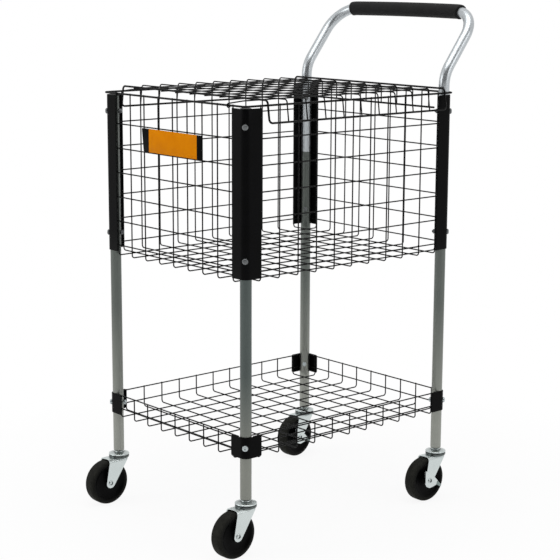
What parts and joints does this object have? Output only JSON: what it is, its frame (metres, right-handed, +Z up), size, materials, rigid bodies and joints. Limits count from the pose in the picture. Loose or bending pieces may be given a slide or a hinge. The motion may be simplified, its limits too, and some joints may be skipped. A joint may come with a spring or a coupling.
{
  "type": "ball cart",
  "caption": "Rolling ball cart: a wire basket with a hinged wire lid and a lower wire tray on tube legs with swivel casters, a push handle and a plain plate.",
  "frame": {"origin": "on the floor, under the centre of the bounding box", "axes": "+Z up; -Y towards the front, which carries the plate and the lid hinge; +Y towards the push handle; +X to the right as seen from the front"},
  "size_m": [0.5308, 0.8082, 1.1707],
  "materials": {
    "silver_paint": "satin metallic",
    "black_coat": "satin",
    "black_wire": "satin",
    "zinc": "bright plated",
    "dull_steel": "dull plated",
    "black_foam": "matte foam",
    "black_plastic": "matte",
    "black_rubber": "satin",
    "orange_print": "satin"
  },
  "bodies": {
    "frame": {"front_left_leg": "silver_paint", "front_right_leg": "silver_paint", "rear_left_leg": "silver_paint", "rear_right_leg": "silver_paint", "front_left_leg_cap": "black_plastic", "front_right_leg_cap": "black_plastic", "handle_tube": "silver_paint", "handle_grip": "black_foam", "front_left_basket_bracket": "black_coat", "front_left_tray_bracket": "black_coat", "front_right_basket_bracket": "black_coat", "front_right_tray_bracket": "black_coat", "rear_left_basket_bracket": "black_coat", "rear_left_tray_bracket": "black_coat", "rear_right_basket_bracket": "black_coat", "rear_right_tray_bracket": "black_coat", "front_left_top_bolt": "dull_steel", "front_left_bottom_bolt": "dull_steel", "front_right_top_bolt": "dull_steel", "front_right_bottom_bolt": "dull_steel", "rear_left_top_bolt": "dull_steel", "rear_left_bottom_bolt": "dull_steel", "rear_right_top_bolt": "dull_steel", "rear_right_bottom_bolt": "dull_steel", "basket_front": "black_wire", "tray_front": "black_wire", "basket_back": "black_wire", "tray_back": "black_wire", "basket_left": "black_wire", "tray_left": "black_wire", "basket_right": "black_wire", "tray_right": "black_wire", "basket_floor": "black_wire", "tray_floor": "black_wire", "basket_rim": "black_wire", "name_plate": "orange_print", "front_left_caster_stem": "zinc", "front_right_caster_stem": "zinc", "rear_left_caster_stem": "zinc", "rear_right_caster_stem": "zinc"},
    "lid": {"lid_top": "black_wire", "lid_left_skirt": "black_wire", "lid_right_skirt": "black_wire", "lid_back_skirt": "black_wire", "lid_left_hinge_wire": "black_wire", "lid_right_hinge_wire": "black_wire"},
    "front_left_swivel": {"front_left_caster_fork": "zinc", "front_left_axle": "zinc"},
    "front_left_wheel": {"front_left_wheel": "black_rubber"},
    "front_right_swivel": {"front_right_caster_fork": "zinc", "front_right_axle": "zinc"},
    "front_right_wheel": {"front_right_wheel": "black_rubber"},
    "rear_left_swivel": {"rear_left_caster_fork": "zinc", "rear_left_axle": "zinc"},
    "rear_left_wheel": {"rear_left_wheel": "black_rubber"},
    "rear_right_swivel": {"rear_right_caster_fork": "zinc", "rear_right_axle": "zinc"},
    "rear_right_wheel": {"rear_right_wheel": "black_rubber"},
    "rear_left_brake": {"rear_left_brake_lever": "zinc"},
    "rear_right_brake": {"rear_right_brake_lever": "zinc"}
  },
  "joints": [
    {"name": "lid_hinge", "type": "hinge", "parent": "frame", "child": "lid", "pos_m": [0, -0.32986, 0.9717], "axis": [1, 0, 0], "range_deg": [0, 240]},
    {"name": "front_left_caster_swivel", "type": "hinge", "parent": "frame", "child": "front_left_swivel", "pos_m": [-0.2365, -0.31481, 0.1162], "axis": [0, 0, 1], "continuous": true},
    {"name": "front_left_wheel_spin", "type": "hinge", "parent": "front_left_swivel", "child": "front_left_wheel", "pos_m": [-0.23682, -0.35181, 0.052], "axis": [1, -0.0087, 0], "continuous": true},
    {"name": "front_right_caster_swivel", "type": "hinge", "parent": "frame", "child": "front_right_swivel", "pos_m": [0.2365, -0.31481, 0.1162], "axis": [0, 0, 1], "continuous": true},
    {"name": "front_right_wheel_spin", "type": "hinge", "parent": "front_right_swivel", "child": "front_right_wheel", "pos_m": [0.23747, -0.3518, 0.052], "axis": [0.9997, 0.0262, 0], "continuous": true},
    {"name": "rear_left_caster_swivel", "type": "hinge", "parent": "frame", "child": "rear_left_swivel", "pos_m": [-0.2365, 0.27719, 0.1162], "axis": [0, 0, 1], "continuous": true},
    {"name": "rear_left_wheel_spin", "type": "hinge", "parent": "rear_left_swivel", "child": "rear_left_wheel", "pos_m": [-0.23328, 0.24033, 0.052], "axis": [0.9962, 0.0872, 0], "continuous": true},
    {"name": "rear_right_caster_swivel", "type": "hinge", "parent": "frame", "child": "rear_right_swivel", "pos_m": [0.2365, 0.27719, 0.1162], "axis": [0, 0, 1], "continuous": true},
    {"name": "rear_right_wheel_spin", "type": "hinge", "parent": "rear_right_swivel", "child": "rear_right_wheel", "pos_m": [0.23553, 0.2402, 0.052], "axis": [0.9997, -0.0262, 0], "continuous": true},
    {"name": "rear_left_brake_press", "type": "hinge", "parent": "rear_left_swivel", "child": "rear_left_brake", "pos_m": [-0.23328, 0.24033, 0.052], "axis": [0.9962, 0.0872, 0], "range_deg": [-25, 0]},
    {"name": "rear_right_brake_press", "type": "hinge", "parent": "rear_right_swivel", "child": "rear_right_brake", "pos_m": [0.23553, 0.2402, 0.052], "axis": [0.9997, -0.0262, 0], "range_deg": [-25, 0]}
  ]
}
